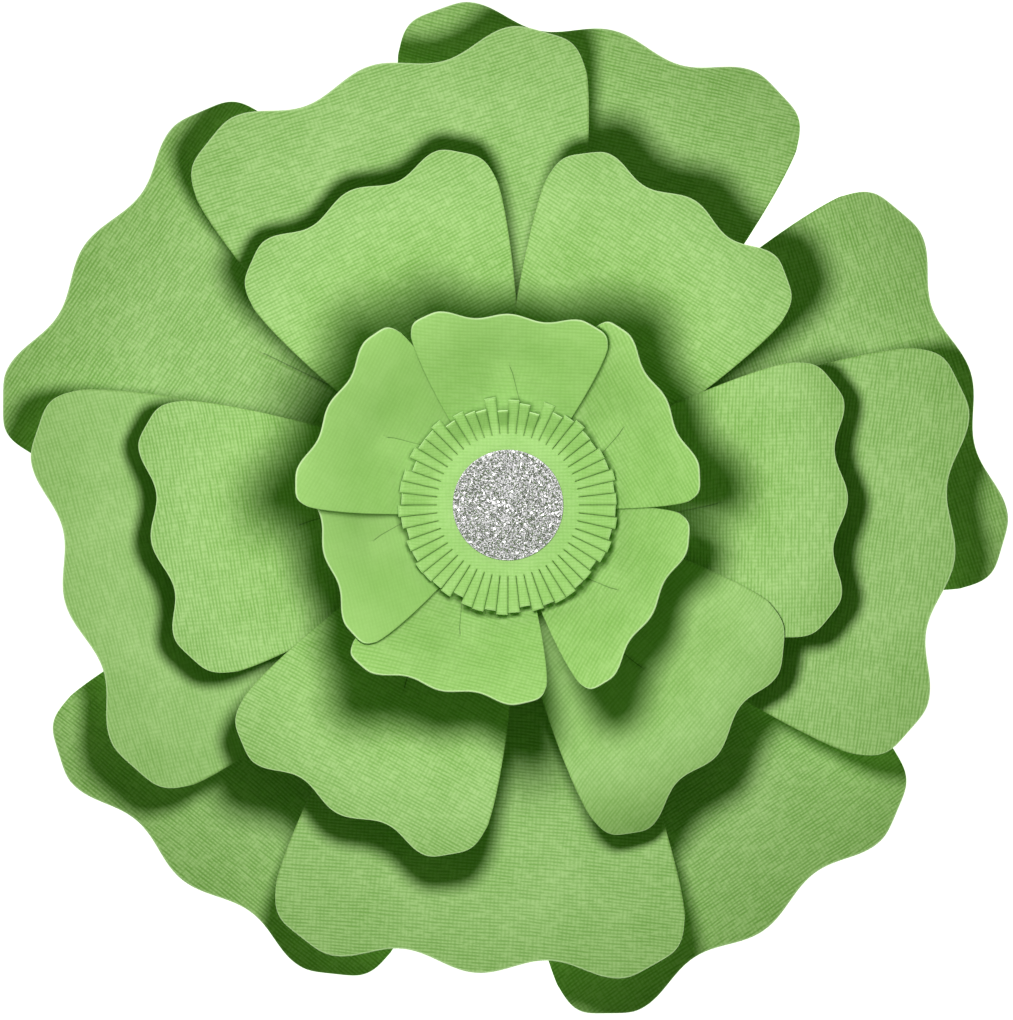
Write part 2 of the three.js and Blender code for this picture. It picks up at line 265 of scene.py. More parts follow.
class Field:
    """A number that varies over a surface. Sums written with it become math nodes."""

    def __init__(self, nodes, socket):
        self.nodes = nodes
        self.socket = socket

    def math(self, operation, *others):
        inputs = dict(enumerate((self, *others)))
        return self.nodes.field("ShaderNodeMath", inputs, operation=operation)

    def __add__(self, other):
        return self.math("ADD", other)

    def __sub__(self, other):
        return self.math("SUBTRACT", other)

    def __rsub__(self, other):
        return (self - other) * -1.0

    def __mul__(self, other):
        return self.math("MULTIPLY", other)

    def __truediv__(self, other):
        return self.math("DIVIDE", other)

    def __rtruediv__(self, other):
        return self ** -1.0 * other

    def __pow__(self, other):
        return self.math("POWER", other)

    def __abs__(self):
        return self.math("ABSOLUTE")

    def at_least(self, other):
        return self.math("MAXIMUM", other)

    def at_most(self, other):
        return self.math("MINIMUM", other)

    def above(self, other):
        return self.math("GREATER_THAN", other)

    def sine(self):
        return self.math("SINE")

    def cosine(self):
        return self.math("COSINE")

    def squared(self):
        return self * self

    def ramp(self, start, end):
        """0 before start, 1 after end, and a smooth step between them."""
        inputs = {0: self, 1: start, 2: end, 3: 0.0, 4: 1.0}
        return self.nodes.field("ShaderNodeMapRange", inputs, interpolation_type="SMOOTHSTEP")


def hypotenuse(first, *others):
    """Root of the sum of squares of a field and further fields or numbers."""
    total = first.squared()
    for other in others:
        total = total + (other.squared() if isinstance(other, Field) else other * other)
    return total.math("SQRT")


def geometry_tree(name, inputs):
    """An empty geometry tree with named number inputs, and those inputs as fields."""
    tree = bpy.data.node_groups.new(name, "GeometryNodeTree")
    tree.interface.new_socket(name="Geometry", in_out="OUTPUT", socket_type="NodeSocketGeometry")
    for label in inputs:
        tree.interface.new_socket(name=label, in_out="INPUT", socket_type="NodeSocketFloat")
    nodes = Nodes(tree)
    group = nodes.add("NodeGroupInput")
    sizes = {label: Field(nodes, group.outputs[label]) for label in inputs}
    return tree, nodes, sizes


def finish_tree(nodes, geometry, material):
    """Gives the geometry its material and makes it the tree's result."""
    whole = nodes.add("GeometryNodeRealizeInstances", {0: geometry})
    painted = nodes.add("GeometryNodeSetMaterial", {"Geometry": whole, "Material": material})
    nodes.add("NodeGroupOutput", {0: painted})


def store(nodes, geometry, name, value, domain="POINT", data_type="FLOAT"):
    """Keeps a field on the geometry under a name that materials can read."""
    inputs = {"Geometry": geometry, "Name": name, "Value": value}
    return nodes.add("GeometryNodeStoreNamedAttribute", inputs, domain=domain, data_type=data_type)


def read(nodes, name):
    """A field kept earlier by `store`."""
    return nodes.field("GeometryNodeInputNamedAttribute", {"Name": name}, data_type="FLOAT")


def join_parts(nodes, parts):
    """Puts several parts in one geometry, in the order given."""
    joined = nodes.add("GeometryNodeJoinGeometry")
    for part in reversed(parts):
        nodes.join(part, joined.inputs[0])
    return joined


def weld(nodes, geometry):
    """Makes points that lie on each other one point."""
    return nodes.add("GeometryNodeMergeByDistance", {"Geometry": geometry, "Distance": WELD})


def thicken(nodes, sheet, thickness):
    """Gives a sheet its thickness, half to each side, and marks the cut edge."""
    normal = nodes.add("GeometryNodeInputNormal")
    inward = nodes.add("ShaderNodeVectorMath", {0: normal, "Scale": thickness * -0.5}, operation="SCALE")
    rear = nodes.add("GeometryNodeSetPosition", {"Geometry": sheet, "Offset": inward})
    inputs = {"Mesh": rear, "Offset": normal, "Offset Scale": thickness, "Individual": False}
    front = nodes.add("GeometryNodeExtrudeMesh", inputs, mode="FACES")
    marked = store(nodes, front, "cut_edge", front.outputs["Side"], domain="FACE")
    turned = nodes.add("GeometryNodeFlipFaces", {0: rear})
    solid = weld(nodes, join_parts(nodes, [marked, turned]))
    smooth = nodes.add("GeometryNodeSetShadeSmooth", {"Geometry": solid, "Shade Smooth": True})
    on_edge = read(nodes, "cut_edge").above(0.5)
    inputs = {"Geometry": smooth, "Selection": on_edge, "Shade Smooth": False}
    return nodes.add("GeometryNodeSetShadeSmooth", inputs)


def piece_from_tree(name, tree, sizes):
    """Runs a geometry tree once and keeps its result as a plain mesh."""
    source = bpy.data.objects.new(name + "_source", bpy.data.meshes.new(name + "_source"))
    bpy.context.scene.collection.objects.link(source)
    modifier = source.modifiers.new("Shape", "NODES")
    modifier.node_group = tree
    for label, value in sizes.items():
        modifier[tree.interface.items_tree[label].identifier] = value
    graph = bpy.context.evaluated_depsgraph_get()
    mesh = bpy.data.meshes.new_from_object(source.evaluated_get(graph))
    mesh.name = name
    bpy.data.objects.remove(source)
    piece = bpy.data.objects.new(name, mesh)
    bpy.context.scene.collection.objects.link(piece)
    return piece


# ---- Petals ---------------------------------------------------------------------------------

ROW_EMBOSS = {"back": 1.0, "second": 0.9, "middle": 0.85, "inner": 0.5}  # strength, at most 1
OUTER_PART = (0.78, 0.95)        # share of the petal's length over which its cut edges go from painted shadow to painted highlight, and its rim gets the painted highlight
RIM_HIGHLIGHT_FADE = (0.08 * MM, 0.34 * MM)  # distance from the outer edge over which the painted highlight on the rim dies away
NO_SEAM = 1.0                    # stored where a petal has no slit edge near it, in metres
PETAL_INPUTS = [*ROWS["back"], "angle", "reach", "skew", "order", "ccw", "cw", "emboss", "card_thickness"]


def outer_edge(size, share):
    """Distance of the outer edge from the axis, `share` running from 0 at the middle to 1."""
    corner = (1.0 - share**EDGE_POWER).at_least(0.0) ** (1 / EDGE_POWER)
    fade = (1.0 - share).ramp(0.0, 1 - WAVE_PITCH)
    scallop = size["wave"] * (share * (2 * math.pi / WAVE_PITCH)).cosine() * fade
    return size["reach"] - size["drop"] + (size["drop"] - size["wave"]) * corner + scallop


def held_angle(size, x, y):
    """Angle from the petal's middle, held where a flank stops rising."""
    turn = abs(y.math("ARCTAN2", x))
    hold = size["cw"] + (size["ccw"] - size["cw"]) * y.above(0.0)
    ease = (hold / 3).at_most(math.radians(FLANK_EASE))
    over = (turn - (hold - ease * 2)).at_least(0.0).at_most(ease * 2)
    return turn.at_most(hold) - over.squared() / (ease * 4)


def surface_height(size, x, y):
    """Height of the card's middle: flat tab, rising ramp, cup round the slit's tip, falling lip."""
    radius = hypotenuse(x, y)
    angle = held_angle(size, x, y)
    beyond = radius * angle.cosine() - size["dart"]
    cup = size["cup"] * (hypotenuse(beyond, radius * angle.sine(), CUP_SOFTNESS) + beyond)
    past = radius - size["flat"]
    ramp = size["slope"] * (hypotenuse(past, RAMP_SOFTNESS) + past) * 0.5
    lip = ((radius - size["lip"]) / (size["reach"] - size["lip"])).at_least(0.0)
    return size["floor"] + size["step"] * size["order"] + ramp + cup - size["curl"] * lip.squared()


def petal_half(nodes, size, half):
    """One half of a petal as a sheet without thickness; `half` is 1 or -1 for its side."""
    rows = ROWS_BELOW_TIP + ROWS_ABOVE_TIP
    inputs = {"Size X": 1.0, "Size Y": 1.0, "Vertices X": rows + 1, "Vertices Y": COLUMNS + 1}
    grid = nodes.add("GeometryNodeMeshGrid", inputs)
    step, column, _ = nodes.split(nodes.add("GeometryNodeInputPosition"))
    step = step + 0.5
    share = ((column + 0.5) * (math.pi / 2)).sine()
    tip_step = ROWS_BELOW_TIP / rows
    run = size["reach"] - size["root"]
    tip = (size["dart"] - size["root"]) / run
    lower = (step / tip_step).at_most(1.0)
    upper = ((step - tip_step) / (1 - tip_step)).at_least(0.0)
    along = tip * lower + (1.0 - tip) * (upper * (math.pi / 2)).sine()

    width = size["half_width"] * (1.0 - (1.0 - along) ** SIDE_POWER * ROOT_NARROWING)
    below = ((tip - along) * run).at_least(0.0)
    lapped = below.ramp(SLIT_OPEN, SLIT_LAPPED)
    lap = (size["overlap"] * below * lapped).at_most(width / 2)
    lap = lap - (below * SLIT_TAPER).at_most(SLIT_GAP) * (1.0 - lapped)
    side = (share * width - lap * (1.0 - share)) * half
    edge = outer_edge(size, share)
    out = size["root"] + along * (edge - size["root"])
    x = out + size["skew"] * side * along
    z = surface_height(size, x, side)
    if half > 0:
        lift = below.ramp(0.0, LIFT_RUN) * LAP_LIFT
        z = z + lift * (1.0 - side.ramp(abs(lap), abs(lap) + LAP_BLEND))

    weave = nodes.vector(share * width * half, out)
    mapped = store(nodes, grid, "Weave", weave, domain="CORNER", data_type="FLOAT2")
    to_border = (1.0 - along) * (edge - size["root"])
    # Where the painted highlight goes: near the outer edge, and on the outer part of the petal.
    rimmed = store(nodes, mapped, "painted_rim_highlight", 1.0 - to_border.ramp(*RIM_HIGHLIGHT_FADE))
    outer = store(nodes, rimmed, "outer", along.ramp(*OUTER_PART))
    # Distance from the slit's edge, which places the painted shadow line along it.
    seam = side + lap - (1.0 - below.above(0.0)) * NO_SEAM if half < 0 else NO_SEAM
    seamed = store(nodes, outer, "seam", seam)
    strengthened = store(nodes, seamed, "emboss", size["emboss"])
    place = nodes.vector(x, side, z)
    placed = nodes.add("GeometryNodeSetPosition", {"Geometry": strengthened, "Position": place})
    return placed if half > 0 else nodes.add("GeometryNodeFlipFaces", {0: placed})


def petal_tree(material):
    """The tree that makes any petal of the flower from its sizes."""
    tree, nodes, size = geometry_tree("Petal", PETAL_INPUTS)
    sheet = weld(nodes, join_parts(nodes, [petal_half(nodes, size, 1), petal_half(nodes, size, -1)]))
    solid = thicken(nodes, sheet, size["card_thickness"])
    turn = nodes.add("FunctionNodeEulerToRotation", {0: nodes.vector(0.0, 0.0, size["angle"])})
    turned = nodes.add("GeometryNodeTransform", {"Geometry": solid, "Rotation": turn})
    finish_tree(nodes, turned, material)
    return tree


def petal_sizes(settings, row, petal):
    """Values for the petal tree's inputs, in metres and radians."""
    sizes = {key: getattr(getattr(settings, row), key) for key in ROWS[row]}
    sizes["angle"] = math.radians(petal["angle"])
    sizes["reach"] = petal["reach"] * MM
    sizes["skew"] = float(petal["skew"])
    sizes["order"] = float(petal["order"])
    sizes["ccw"] = math.radians(petal.get("ccw", FLANK_HOLD))
    sizes["cw"] = math.radians(petal.get("cw", FLANK_HOLD))
    sizes["emboss"] = float(petal.get("emboss", ROW_EMBOSS[row]))
    sizes["card_thickness"] = settings.card_thickness
    return sizes


# ---- Fringe ---------------------------------------------------------------------------------

FRINGE_INPUTS = [
    "fringe_flat", "fringe_strip", "fringe_strips", "fringe_slit", "fringe_height", "card_thickness",
]
FRINGE_EMBOSS = 0.35             # strength of the emboss on the fringed disc
STRIP_COLUMNS = 4                # faces over the width of a strip
HUB_ROWS = 4                     # rows of faces from the hub's hole to the slits
HUB_CROWDING = 3.0               # how closely the hub's rows gather at the slits' ends
STRIP_ROWS = 10                  # rows of faces from the slits' ends to the strips' ends
HUB_HOLE = 2 * MM                # inner radius of the sectors, closed by a round cap
FRINGE_BEND = 3.5 * MM           # length of strip over which it bends up
REST_PITCH = 33                  # degrees that most strips are bent up
TOP_PITCH = 27                   # how much further the strips at the top stand up
TOP_DIRECTION = 95               # degrees, the middle of the strips that stand up
TOP_FOCUS = 4.0                  # how closely they gather round it
TOP_TURN = 1.9                   # radians from one strip to the next in their run of heights
UNEVENNESS = 6                   # degrees that any strip may stand higher or lower
UNEVEN_TURN = 2.4                # radians from one strip to the next in that unevenness
SHORT_TURN = 5.3                 # radians from one strip to the next in the run of short ones
SHORT_RARITY = 4.0               # the higher, the fewer strips are short
SHORT_CUT = 0.2                  # share of its straight length that the shortest strip lacks


def strip_pitch(strip, count):
    """How far a strip is bent up, in radians: the ones at the top stand up most."""
    toward_top = ((strip + 0.5) / count * (2 * math.pi) - math.radians(TOP_DIRECTION)).cosine()
    uneven = (strip * UNEVEN_TURN).sine() * UNEVENNESS
    tall = toward_top.at_least(0.0) ** TOP_FOCUS * abs((strip * TOP_TURN).sine()) * TOP_PITCH
    return (uneven + tall + REST_PITCH) * math.radians(1)


def strip_share(strip):
    """How much of its straight length a strip keeps: a few are cut short."""
    return 1.0 - (strip * SHORT_TURN).sine().at_least(0.0) ** SHORT_RARITY * SHORT_CUT


def fringe_sector(nodes, size):
    """One flat strip with its wedge of the hub, pointing along +X."""
    rows = HUB_ROWS + STRIP_ROWS
    inputs = {"Size X": 1.0, "Size Y": 1.0, "Vertices X": rows + 1, "Vertices Y": STRIP_COLUMNS + 1}
    grid = nodes.add("GeometryNodeMeshGrid", inputs)
    step, column, _ = nodes.split(nodes.add("GeometryNodeInputPosition"))
    step = (step + 0.5) * rows
    inside = (1.0 - step / HUB_ROWS).at_least(0.0)
    hub = (1.0 - inside**HUB_CROWDING) * (size["fringe_flat"] - HUB_HOLE)
    strip = ((step - HUB_ROWS) / STRIP_ROWS).at_least(0.0) * size["fringe_strip"]
    radius = hub + strip + HUB_HOLE
    cut = step.above(HUB_ROWS - 0.5)
    half_turn = math.pi / size["fringe_strips"] - size["fringe_slit"] * 0.5 / radius * cut
    turn = column * half_turn * 2
    place = nodes.vector(radius * turn.cosine(), radius * turn.sine())
    return nodes.add("GeometryNodeSetPosition", {"Geometry": grid, "Position": place})


def fringe_tree(material, cap_sides):
    """The tree of the whole fringed disc, whose hub is closed by a cap with `cap_sides` sides."""
    tree, nodes, size = geometry_tree("Fringe", FRINGE_INPUTS)
    count = size["fringe_strips"]
    sector = fringe_sector(nodes, size)
    inputs = {"Count": count, "Start Location": (0, 0, 0), "Offset": (0, 0, 0)}
    line = nodes.add("GeometryNodeMeshLine", inputs)
    index = nodes.field("GeometryNodeInputIndex")
    spin = nodes.vector(0.0, 0.0, (index + 0.5) / count * (2 * math.pi))
    turn = nodes.add("FunctionNodeEulerToRotation", {0: spin})
    inputs = {"Points": line, "Instance": sector, "Rotation": turn}
    copies = nodes.add("GeometryNodeInstanceOnPoints", inputs)
    numbered = store(nodes, copies, "strip", index, domain="INSTANCE")
    flat = nodes.add("GeometryNodeRealizeInstances", {0: numbered})
    inputs = {"Vertices": cap_sides, "Radius": HUB_HOLE}
    cap = nodes.add("GeometryNodeMeshCircle", inputs, fill_type="NGON")
    sheet = weld(nodes, join_parts(nodes, [flat, cap]))
    x, y, _ = nodes.split(nodes.add("GeometryNodeInputPosition"))
    mapped = store(nodes, sheet, "Weave", nodes.vector(x, y), domain="CORNER", data_type="FLOAT2")
    seamed = store(nodes, mapped, "seam", NO_SEAM)
    embossed = store(nodes, seamed, "emboss", FRINGE_EMBOSS)
    # The whole fringe counts as outer part, so its cut edges all get the painted highlight.
    edged = store(nodes, embossed, "outer", 1.0)
    bent = bend_strips(nodes, size, edged, read(nodes, "strip"))
    finish_tree(nodes, thicken(nodes, bent, size["card_thickness"]), material)
    return tree


def bend_strips(nodes, size, sheet, strip):
    """Bends each strip up by its own angle round a short curve at its root."""
    x, y, _ = nodes.split(nodes.add("GeometryNodeInputPosition"))
    radius = hypotenuse(x, y)
    turn = y.math("ARCTAN2", x)
    reach = (radius - size["fringe_flat"]).at_least(0.0)
    pitch = strip_pitch(strip, size["fringe_strips"])
    curved = reach.at_most(FRINGE_BEND)
    straight = reach - curved
    tilt = pitch * curved / FRINGE_BEND
    bend_radius = FRINGE_BEND / pitch
    straight = straight * strip_share(strip)
    outward = bend_radius * tilt.sine() + straight * pitch.cosine()
    upward = bend_radius * (1.0 - tilt.cosine()) + straight * pitch.sine()
    distance = radius - reach + outward
    level = size["fringe_height"] + size["card_thickness"] * 0.5 + upward
    place = nodes.vector(distance * turn.cosine(), distance * turn.sine(), level)
    return nodes.add("GeometryNodeSetPosition", {"Geometry": sheet, "Position": place})


# ---- Glitter --------------------------------------------------------------------------------

DISC_SIDES = 72
FLAKES_PER_AREA = 4.2e6          # flakes on a square metre
FLAKE_SEED = 7
FLAKE_SIDES = 6
FLAKE_THICKNESS = 0.04 * MM
FLAKE_TILT = 0.75                # radians that a flake leans at most, each way
FLAKE_SPIN = 6.28                # radians that it may be turned round
FLAKE_SCALE = (0.6, 1.2)         # smallest and largest flake, for each unit of flake size


def glitter_tree(material, top, radius):
    """Hexagonal flakes scattered over the glitter disc, each tilted at random."""
    tree, nodes, size = geometry_tree("Glitter", ["flake_size"])
    inputs = {"Vertices": DISC_SIDES, "Radius": radius}
    disc = nodes.add("GeometryNodeMeshCircle", inputs, fill_type="NGON")
    raised = nodes.add("GeometryNodeTransform", {"Geometry": disc, "Translation": (0, 0, top)})
    inputs = {"Mesh": raised, "Density": FLAKES_PER_AREA, "Seed": FLAKE_SEED}
    spots = nodes.add("GeometryNodeDistributePointsOnFaces", inputs)
    inputs = {"Vertices": FLAKE_SIDES, "Radius": size["flake_size"], "Depth": FLAKE_THICKNESS}
    flake = nodes.add("GeometryNodeMeshCylinder", inputs, fill_type="NGON")
    inputs = {
        "Min": (-FLAKE_TILT, -FLAKE_TILT, 0),
        "Max": (FLAKE_TILT, FLAKE_TILT, FLAKE_SPIN),
        "Seed": FLAKE_SEED + 1,
    }
    tilt = nodes.add("FunctionNodeRandomValue", inputs, data_type="FLOAT_VECTOR")
    turn = nodes.add("FunctionNodeEulerToRotation", {0: tilt})
    scale = nodes.add("FunctionNodeRandomValue", {"Seed": FLAKE_SEED + 2}, data_type="FLOAT")
    scale.inputs[2].default_value = FLAKE_SCALE[0]
    scale.inputs[3].default_value = FLAKE_SCALE[1]
    inputs = {"Points": spots, "Instance": flake, "Rotation": turn, "Scale": scale.outputs[1]}
    copies = nodes.add("GeometryNodeInstanceOnPoints", inputs)
    finish_tree(nodes, copies, material)
    return tree


# ---- Materials ------------------------------------------------------------------------------

ALONG_PITCH = 1.2                # spacing of the lengthwise threads, for each unit of thread pitch
CROSS_SLUB = 3.2 * MM            # length over which a cross thread changes strength
ALONG_SLUB = 2.4 * MM            # and a lengthwise one
SLUB_WIDTH = 0.9                 # width over which threads differ, for each unit of their pitch
SLUB_RANGE = (0.22, 0.6)         # part of the noise over which a groove goes from filled to deep
WANDER_SIZE = (22 * MM, 9 * MM)  # length and width over which threads drift sideways
WANDER = 1.6                     # how far they drift, in pitches
WEAVE_LEVEL = 0.45               # height that cross threads keep between the lengthwise ones
WEAVE_HEIGHT = 0.9
GRAIN_SIZE = 0.5 * MM            # the card's own fibres
GRAIN_HEIGHT = 0.36
GRAIN_LEVEL = 0.14
BLOTCH_SIZE = 14 * MM            # slow changes of tone over a petal
BLOTCH_TONE = 0.5
BLOTCH_LEVEL = 0.12
RIM_HIGHLIGHT_TONE = 0.8                   # strength of the painted highlight on the rim
SLIT_SHADOW_FADE = (0.1 * MM, 0.45 * MM)  # distance from a slit over which its painted shadow line dies away
EDGE_SHADOW_TONE = 0.7                  # strength of that painted shadow, and of the painted shadow on the cut edges of the inner part
FIBRE_SIZE = (0.6 * MM, 3 * MM)  # width and length of the board's fibres
SPECK_SIZE = 0.35 * MM
SPECK_RANGE = (0.68, 0.8)        # part of the noise over which a speck darkens
BOARD_DARK = 0.82                # darkest board, for each unit of its colour
BED_GRAIN = 0.3 * MM
BED_DARK = (0.12, 0.12, 0.125, 1)
FLAKE_PATCH = 0.7 * MM           # length over which the flakes' tone changes
FLAKE_DULL = 0.6                 # dullest flake, for each unit of the glitter's colour
TONE_RANGE = (0.35, 0.65)        # part of the noise over which glitter goes from dark to light

# Levels at which the noise is cut, so that no two patterns are alike.
SLUB_CUT = 3.7
GRAIN_CUT = 9.1
BLOTCH_CUT = 1.3
SPECK_CUT = 4.0


def new_material(name, roughness, metallic=0.0):
    """A material, its node tree and its surface node, with the values that don't vary over it."""
    material = bpy.data.materials.new(name)
    material.use_nodes = True
    surface = material.node_tree.nodes["Principled BSDF"]
    surface.inputs["Roughness"].default_value = roughness
    surface.inputs["Metallic"].default_value = metallic
    return material, Nodes(material.node_tree), surface


def add_bump(nodes, surface, height, strength, distance):
    """Lets a height field catch the light."""
    bump = nodes.add("ShaderNodeBump", {"Height": height, "Strength": strength, "Distance": distance})
    nodes.join(bump, surface.inputs["Normal"])


def threads(nodes, run, across, pitch, slub):
    """One set of embossed threads, 1 on a thread and near 0 in the grooves, which lie along `run`."""
    wander = nodes.noise(run / WANDER_SIZE[0], across / WANDER_SIZE[1], detail=1.0)
    phase = across / pitch + wander * WANDER
    groove = 0.5 - (phase * (2 * math.pi)).cosine() * 0.5
    strength = nodes.noise(run / slub, across / (pitch * SLUB_WIDTH), SLUB_CUT)
    return 1.0 - groove * strength.ramp(*SLUB_RANGE)


def linen(nodes, pitch):
    """Height of the linen emboss, about 0 to 1, in the card's own flat coordinates."""
    weave = nodes.add("ShaderNodeUVMap", uv_map="Weave")
    u, v, _ = nodes.split(weave)
    cross = threads(nodes, u, v, pitch, CROSS_SLUB)
    lengthwise = threads(nodes, v, u, pitch * ALONG_PITCH, ALONG_SLUB)
    grain = nodes.noise(u / GRAIN_SIZE, v / GRAIN_SIZE, GRAIN_CUT)
    woven = cross * (lengthwise * (1 - WEAVE_LEVEL) + WEAVE_LEVEL)
    return woven * WEAVE_HEIGHT + grain * GRAIN_HEIGHT - GRAIN_LEVEL


def mix(nodes, factor, first, second):
    """Goes from the first colour to the second as the factor goes from 0 to 1."""
    inputs = {"Factor": factor, 6: first, 7: second}
    node = nodes.add("ShaderNodeMix", inputs, data_type="RGBA")
    return node.outputs[2]


def attribute(nodes, name):
    """Reads in a material what `store` kept on the geometry."""
    return Field(nodes, nodes.add("ShaderNodeAttribute", attribute_name=name).outputs["Fac"])


def card_material(settings):
    """Linen card, with painted shade in the emboss's grooves, a painted highlight along its outer rims
    and their cut edges, and painted shadow on its other cut edges and along a slit.
    """
    material, nodes, surface = new_material("green_linen_card", roughness=0.62)
    strength = attribute(nodes, "emboss")
    height = linen(nodes, settings.thread_pitch) * strength + (1.0 - strength) * 0.5
    u, v, _ = nodes.split(nodes.add("ShaderNodeUVMap", uv_map="Weave"))
    blotch = nodes.noise(u / BLOTCH_SIZE, v / BLOTCH_SIZE, BLOTCH_CUT)
    # Painted shade in the emboss's grooves, mixed with blotches of tone that differ at random.
    shade = (height + blotch * BLOTCH_TONE - BLOTCH_LEVEL).at_least(0.0).at_most(1.0)
    paint = mix(nodes, shade, (*settings.card_groove_shade, 1), (*settings.card_light, 1))
    outer = attribute(nodes, "outer")
    cut = attribute(nodes, "cut_edge")
    # Painted highlight on the rim near the outer edge and on the cut edges of the outer part.
    painted_rim_highlight = (attribute(nodes, "painted_rim_highlight") * RIM_HIGHLIGHT_TONE).at_least(cut) * outer
    paint = mix(nodes, painted_rim_highlight, paint, (*settings.card_rim_highlight, 1))
    # Painted shadow along a slit's edge and on the cut edges away from the outer part.
    slit_shadow = 1.0 - abs(attribute(nodes, "seam")).ramp(*SLIT_SHADOW_FADE)
    seam = slit_shadow.at_least(cut * (1.0 - outer)) * EDGE_SHADOW_TONE
    paint = mix(nodes, seam, paint, (*settings.card_edge_shadow, 1))
    nodes.join(paint, surface.inputs["Base Color"])
    surface.inputs["IOR"].default_value = 1.4
    add_bump(nodes, surface, height, strength=0.8, distance=settings.emboss_depth)
    return material


def board_material(settings):
    """Plain uncoated board with short fibres and specks."""
    material, nodes, surface = new_material("plain_backing_board", roughness=0.85)
    x, y, _ = nodes.split(nodes.add("ShaderNodeTexCoord").outputs["Object"])
    fibres = nodes.noise(x / FIBRE_SIZE[0], y / FIBRE_SIZE[1])
    specks = nodes.noise(x / SPECK_SIZE, y / SPECK_SIZE, SPECK_CUT).ramp(*SPECK_RANGE)
    light = (*settings.board_colour, 1)
    dark = (*(channel * BOARD_DARK for channel in settings.board_colour), 1)
    nodes.join(mix(nodes, (fibres + specks).at_most(1.0), light, dark), surface.inputs["Base Color"])
    add_bump(nodes, surface, fibres, strength=0.5, distance=0.05 * MM)
    return material


def glitter_bed_material(settings):
    """The glue and fine dust that the larger flakes lie in."""
    material, nodes, surface = new_material("glitter_bed", roughness=0.45, metallic=0.7)
    x, y, z = nodes.split(nodes.add("ShaderNodeTexCoord").outputs["Object"])
    grain = nodes.noise(x / BED_GRAIN, y / BED_GRAIN, z / BED_GRAIN)
    light = (*settings.glitter_colour, 1)
    nodes.join(mix(nodes, grain.ramp(*TONE_RANGE), BED_DARK, light), surface.inputs["Base Color"])
    add_bump(nodes, surface, grain, strength=1.0, distance=0.15 * MM)
    return material


def flake_material(settings):
    """Silver flakes, some duller than others."""
    material, nodes, surface = new_material("silver_flakes", roughness=0.28, metallic=0.9)
    x, y, z = nodes.split(nodes.add("ShaderNodeTexCoord").outputs["Object"])
    patches = nodes.noise(x / FLAKE_PATCH, y / FLAKE_PATCH, z / FLAKE_PATCH, detail=1.0)
    tone = patches.ramp(*TONE_RANGE)
    dull = (*(channel * FLAKE_DULL for channel in settings.glitter_colour), 1)
    nodes.join(mix(nodes, tone, dull, (*settings.glitter_colour, 1)), surface.inputs["Base Color"])
    return material


def wear(piece, material):
    """Puts one material in every slot of a piece that keeps its own shape."""
    if not piece.material_slots:
        piece.data.materials.append(material)
    for slot in piece.material_slots:
        slot.material = material


# ---- Stage ----------------------------------------------------------------------------------

FLOOR_HALF = 1.5                 # half the side of the floor
FLOOR_DROP = 0.5 * MM            # how far it lies below the flower
CAMERA_HEIGHT = 1.8
CAMERA_SHIFT = (-0.45 * MM, -1.5 * MM)
CLIP_RANGE = (0.1, 20)
FRAME_SIDE = 306 * MM            # what the long side of the picture takes in, at mid height
FRAME_LEVEL = 15 * MM
SENSOR = 36.0
KEY_PLACE = (-12 * MM, 22 * MM, 198 * MM)
KEY_RADIUS = 32 * MM
KEY_POWER = 6.7
SKY_COLOUR = (0.55, 1.0, 0.28)   # light thrown back by the card's surroundings
SKY_STRENGTH = 0.14
FLOOR_GLOW = 1.0


def make_floor():
    """A pale glowing floor, so that no shadow shows round the flower."""
    sides = ((-1, -1), (1, -1), (1, 1), (-1, 1))
    corners = [(x * FLOOR_HALF, y * FLOOR_HALF, -FLOOR_DROP) for x, y in sides]
    mesh = bpy.data.meshes.new("floor")
    mesh.from_pydata(corners, [], [(0, 1, 2, 3)])
    floor = bpy.data.objects.new("floor", mesh)
    bpy.context.scene.collection.objects.link(floor)
    material, _, surface = new_material("pale_floor", roughness=0.9)
    surface.inputs["Base Color"].default_value = (0.93, 0.93, 0.93, 1)
    surface.inputs["Emission Color"].default_value = (1, 1, 1, 1)
    surface.inputs["Emission Strength"].default_value = FLOOR_GLOW
    mesh.materials.append(material)


def make_camera():
    """A camera that looks straight down at the flower's front."""
    camera = bpy.data.cameras.new("camera")
    camera.sensor_width = SENSOR
    camera.lens = SENSOR * (CAMERA_HEIGHT - FRAME_LEVEL) / FRAME_SIDE
    camera.clip_start = CLIP_RANGE[0]
    camera.clip_end = CLIP_RANGE[1]
    holder = bpy.data.objects.new("camera", camera)
    holder.location = (*CAMERA_SHIFT, CAMERA_HEIGHT)
    bpy.context.scene.collection.objects.link(holder)
    bpy.context.scene.camera = holder


def make_light(name, place, radius, power):
    """A small lamp whose light fades slowly, so that the petals' edges are lit as well as the heart."""
    lamp = bpy.data.lights.new(name, "POINT")
    lamp.shadow_soft_size = radius
    lamp.use_nodes = True
    nodes = Nodes(lamp.node_tree)
    spread = nodes.add("ShaderNodeLightFalloff", {"Strength": power}).outputs["Linear"]
    nodes.join(spread, lamp.node_tree.nodes["Emission"].inputs["Strength"])
    lamp.energy = 1.0  # the falloff node holds the power
    holder = bpy.data.objects.new(name, lamp)
    holder.location = place
    holder.visible_camera = False
    bpy.context.scene.collection.objects.link(holder)


def make_sky():
    """Weak light from all round."""
    world = bpy.data.worlds.new("soft_studio")
    world.use_nodes = True
    sky = world.node_tree.nodes["Background"]
    sky.inputs["Color"].default_value = (*SKY_COLOUR, 1)
    sky.inputs["Strength"].default_value = SKY_STRENGTH
    bpy.context.scene.world = world


# ---- Operators ------------------------------------------------------------------------------


def settings_of(context):
    """The scene's own copy of the settings."""
    return context.scene.paper_flower


def shared_material(name, make, settings):
    """A material that is made on first use and shared after that."""
    return bpy.data.materials.get(name) or make(settings)


